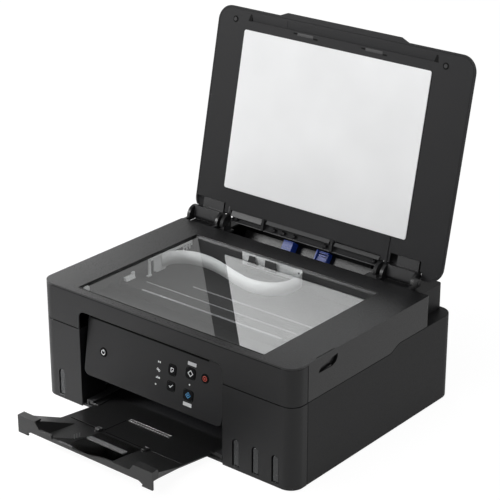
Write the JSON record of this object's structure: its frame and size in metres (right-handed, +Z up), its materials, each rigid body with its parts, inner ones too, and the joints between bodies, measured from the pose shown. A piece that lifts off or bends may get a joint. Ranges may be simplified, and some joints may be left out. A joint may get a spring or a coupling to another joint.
{
  "type": "inkjet printer",
  "caption": "Flatbed all-in-one inkjet printer: scanner unit with an open document cover, side ink tanks, front operation panel, rear paper feed and a pull-out tray.",
  "frame": {"origin": "on the floor, below the middle of the printer's outline with its cover open and its tray out", "axes": "+Z up, the front faces -Y, +X to the right of a user in front of the printer"},
  "size_m": [0.416, 0.4897, 0.46],
  "materials": {
    "case_plastic": "fine-grained matte dark grey plastic",
    "front_panel_plastic": "fine-grained matte dark grey plastic",
    "panel_plastic": "matte dark grey plastic",
    "frame_plastic": "matte grey plastic",
    "cover_plastic": "fine-grained matte dark grey plastic",
    "tray_plastic": "matte black-grey plastic",
    "pan_plastic": "plain black plastic",
    "feet_rubber": "black rubber",
    "pad_foam": "white foam pad with a smooth skin",
    "hinge_plastic": "black glass-filled plastic",
    "glass": "clear flat glass",
    "bed_plastic": "matte mid-grey plastic",
    "scan_bar_plastic": "matte black plastic",
    "cable_white": "white flat ribbon cable",
    "steel": "bright steel",
    "motor_steel": "zinc plated steel",
    "chassis_steel": "zinc plated sheet steel",
    "screw_chrome": "polished metal",
    "guide_blue": "deep blue plastic",
    "button_black": "black rubbery plastic",
    "light_lens": "frosted white light guide",
    "tank_plastic": "translucent plastic",
    "cap_black": "black plastic",
    "cap_cyan": "cyan-blue plastic",
    "cap_magenta": "magenta plastic",
    "cap_yellow": "yellow plastic",
    "engine_plastic": "black engineering plastic",
    "head_plastic": "black plastic",
    "roller_rubber": "grey rubber",
    "gear_plastic": "white acetal",
    "brass_gear": "brass",
    "belt_rubber": "black toothed belt",
    "supply_case": "black plastic case",
    "board_green": "green circuit board",
    "inlet_plastic": "black plastic"
  },
  "bodies": {
    "base": {"base_pan": "pan_plastic", "rubber_feet": "feet_rubber", "main_case": "case_plastic", "front_panel_left": "front_panel_plastic", "front_panel_right": "case_plastic", "operation_panel": "panel_plastic", "indicator_lights": "light_lens", "rear_tray_housing": "case_plastic", "paper_chute": "tray_plastic", "ink_tank_black": "tank_plastic", "ink_tank_cyan": "tank_plastic", "ink_tank_magenta": "tank_plastic", "ink_tank_yellow": "tank_plastic", "chassis": "chassis_steel", "platen": "engine_plastic", "pinch_roller_bar": "engine_plastic", "maintenance_unit": "engine_plastic", "carriage_belt": "belt_rubber", "carriage_motor": "motor_steel", "paper_feed_motor": "motor_steel", "power_supply": "supply_case", "main_board": "board_green", "power_inlet": "inlet_plastic"},
    "cap_black": {"tank_cap_black": "cap_black"},
    "cap_cyan": {"tank_cap_cyan": "cap_cyan"},
    "cap_magenta": {"tank_cap_magenta": "cap_magenta"},
    "cap_yellow": {"tank_cap_yellow": "cap_yellow"},
    "power_button": {"power_button": "button_black"},
    "copies_button": {"copies_button": "button_black"},
    "ok_button": {"ok_button": "button_black"},
    "black_start_button": {"black_start_button": "button_black"},
    "stop_button": {"stop_button": "button_black"},
    "colour_start_button": {"colour_start_button": "button_black"},
    "output_tray": {"output_tray": "tray_plastic"},
    "tray_extension": {"tray_extension": "tray_plastic"},
    "guide_left": {"paper_guide_left": "guide_blue"},
    "guide_right": {"paper_guide_right": "guide_blue"},
    "guide_pinion": {"guide_pinion": "screw_chrome"},
    "paper_support": {"paper_support": "tray_plastic"},
    "feed_roller": {"feed_roller": "roller_rubber"},
    "line_feed_roller": {"line_feed_roller": "roller_rubber"},
    "eject_roller": {"eject_roller": "roller_rubber"},
    "idler_gear": {"idler_gear": "gear_plastic"},
    "motor_pinion": {"motor_pinion": "brass_gear"},
    "carriage": {"print_carriage": "engine_plastic", "print_head_black": "head_plastic", "print_head_colour": "head_plastic"},
    "drive_pulley": {"drive_pulley": "steel"},
    "idler_pulley": {"idler_pulley": "steel"},
    "scanner_unit": {"front_bezel": "front_panel_plastic", "scanner_top_frame": "frame_plastic", "scanner_base": "bed_plastic", "scanner_glass": "glass", "ribbon_cable": "cable_white", "hinge_pins": "steel"},
    "scan_bar": {"scan_bar": "scan_bar_plastic"},
    "cover": {"cover_shell": "cover_plastic", "cover_inner_panel": "cover_plastic", "cover_pad": "pad_foam", "cover_hinges": "hinge_plastic"}
  },
  "joints": [
    {"name": "scanner_unit_lift", "type": "hinge", "parent": "base", "child": "scanner_unit", "pos_m": [0, 0.17067, 0.164], "axis": [-1, 0, 0], "range_deg": [0, 30]},
    {"name": "document_cover_hinge", "type": "hinge", "parent": "scanner_unit", "child": "cover", "pos_m": [0, 0.17067, 0.164], "axis": [-1, 0, 0], "range_deg": [-102, 0]},
    {"name": "scan_bar_slide", "type": "slide", "parent": "scanner_unit", "child": "scan_bar", "axis": [1, 0, 0], "range_m": [0, 0.3], "deforming": ["ribbon_cable"]},
    {"name": "output_tray_slide", "type": "slide", "parent": "base", "child": "output_tray", "axis": [0, -1, 0], "range_m": [-0.117, 0]},
    {"name": "tray_extension_slide", "type": "slide", "parent": "output_tray", "child": "tray_extension", "axis": [0, -0.9923, 0.124], "range_m": [0, 0.03]},
    {"name": "paper_guide_right_slide", "type": "slide", "parent": "base", "child": "guide_right", "axis": [1, 0, 0], "range_m": [0, 0.085]},
    {"name": "paper_guide_left_slide", "type": "slide", "parent": "base", "child": "guide_left", "axis": [-1, 0, 0], "range_m": [0, 0.085]},
    {"name": "guide_pinion_spin", "type": "hinge", "parent": "base", "child": "guide_pinion", "pos_m": [-0.0215, 0.17993, 0.12229], "axis": [0, -0.809, 0.5878], "range_deg": [0, 609]},
    {"name": "paper_support_fold", "type": "hinge", "parent": "base", "child": "paper_support", "pos_m": [0, 0.20707, 0.1505], "axis": [1, 0, 0], "range_deg": [0, 144]},
    {"name": "feed_roller_spin", "type": "hinge", "parent": "base", "child": "feed_roller", "pos_m": [-0.0215, 0.13056, 0.07782], "axis": [1, 0, 0], "continuous": true},
    {"name": "line_feed_roller_spin", "type": "hinge", "parent": "base", "child": "line_feed_roller", "pos_m": [0, 0.07767, 0.039], "axis": [1, 0, 0], "continuous": true},
    {"name": "eject_roller_spin", "type": "hinge", "parent": "base", "child": "eject_roller", "pos_m": [0, 0.00667, 0.039], "axis": [1, 0, 0], "continuous": true},
    {"name": "idler_gear_spin", "type": "hinge", "parent": "base", "child": "idler_gear", "pos_m": [-0.153, 0.04217, 0.039], "axis": [1, 0, 0], "continuous": true},
    {"name": "motor_pinion_spin", "type": "hinge", "parent": "base", "child": "motor_pinion", "pos_m": [-0.153, 0.09767, 0.039], "axis": [1, 0, 0], "continuous": true},
    {"name": "carriage_slide", "type": "slide", "parent": "base", "child": "carriage", "axis": [1, 0, 0], "range_m": [-0.252, 0]},
    {"name": "drive_pulley_spin", "type": "hinge", "parent": "base", "child": "drive_pulley", "pos_m": [-0.186, 0.08067, 0.0985], "axis": [0, 0, 1], "continuous": true},
    {"name": "idler_pulley_spin", "type": "hinge", "parent": "base", "child": "idler_pulley", "pos_m": [0.196, 0.08067, 0.0985], "axis": [0, 0, 1], "continuous": true},
    {"name": "power_press", "type": "slide", "parent": "base", "child": "power_button", "axis": [0, 0.9877, -0.1564], "range_m": [0, 0.0008], "stiffness_N_per_m": 800},
    {"name": "copies_press", "type": "slide", "parent": "base", "child": "copies_button", "axis": [0, 0.9877, -0.1564], "range_m": [0, 0.0008], "stiffness_N_per_m": 800},
    {"name": "ok_press", "type": "slide", "parent": "base", "child": "ok_button", "axis": [0, 0.9877, -0.1564], "range_m": [0, 0.0008], "stiffness_N_per_m": 800},
    {"name": "black_start_press", "type": "slide", "parent": "base", "child": "black_start_button", "axis": [0, 0.9877, -0.1564], "range_m": [0, 0.0008], "stiffness_N_per_m": 800},
    {"name": "stop_press", "type": "slide", "parent": "base", "child": "stop_button", "axis": [0, 0.9877, -0.1564], "range_m": [0, 0.0008], "stiffness_N_per_m": 800},
    {"name": "colour_start_press", "type": "slide", "parent": "base", "child": "colour_start_button", "axis": [0, 0.9877, -0.1564], "range_m": [0, 0.0008], "stiffness_N_per_m": 800},
    {"name": "tank_cap_black_lift", "type": "hinge", "parent": "base", "child": "cap_black", "pos_m": [-0.1764, -0.06733, 0.0916], "axis": [-1, 0, 0], "range_deg": [0, 60]},
    {"name": "tank_cap_cyan_lift", "type": "hinge", "parent": "base", "child": "cap_cyan", "pos_m": [0.119, -0.06733, 0.0916], "axis": [-1, 0, 0], "range_deg": [0, 60]},
    {"name": "tank_cap_magenta_lift", "type": "hinge", "parent": "base", "child": "cap_magenta", "pos_m": [0.1495, -0.06733, 0.0916], "axis": [-1, 0, 0], "range_deg": [0, 60]},
    {"name": "tank_cap_yellow_lift", "type": "hinge", "parent": "base", "child": "cap_yellow", "pos_m": [0.18, -0.06733, 0.0916], "axis": [-1, 0, 0], "range_deg": [0, 60]}
  ],
  "couplings": [
    {"joint": "paper_guide_left_slide", "follows": "paper_guide_right_slide", "ratio": 1},
    {"joint": "guide_pinion_spin", "follows": "paper_guide_right_slide", "rad_per_m": 125},
    {"joint": "eject_roller_spin", "follows": "line_feed_roller_spin", "ratio": 1},
    {"joint": "idler_gear_spin", "follows": "line_feed_roller_spin", "ratio": -0.65116},
    {"joint": "motor_pinion_spin", "follows": "line_feed_roller_spin", "ratio": -2.3333},
    {"joint": "drive_pulley_spin", "follows": "carriage_slide", "rad_per_m": 166.67},
    {"joint": "idler_pulley_spin", "follows": "carriage_slide", "rad_per_m": 166.67}
  ]
}
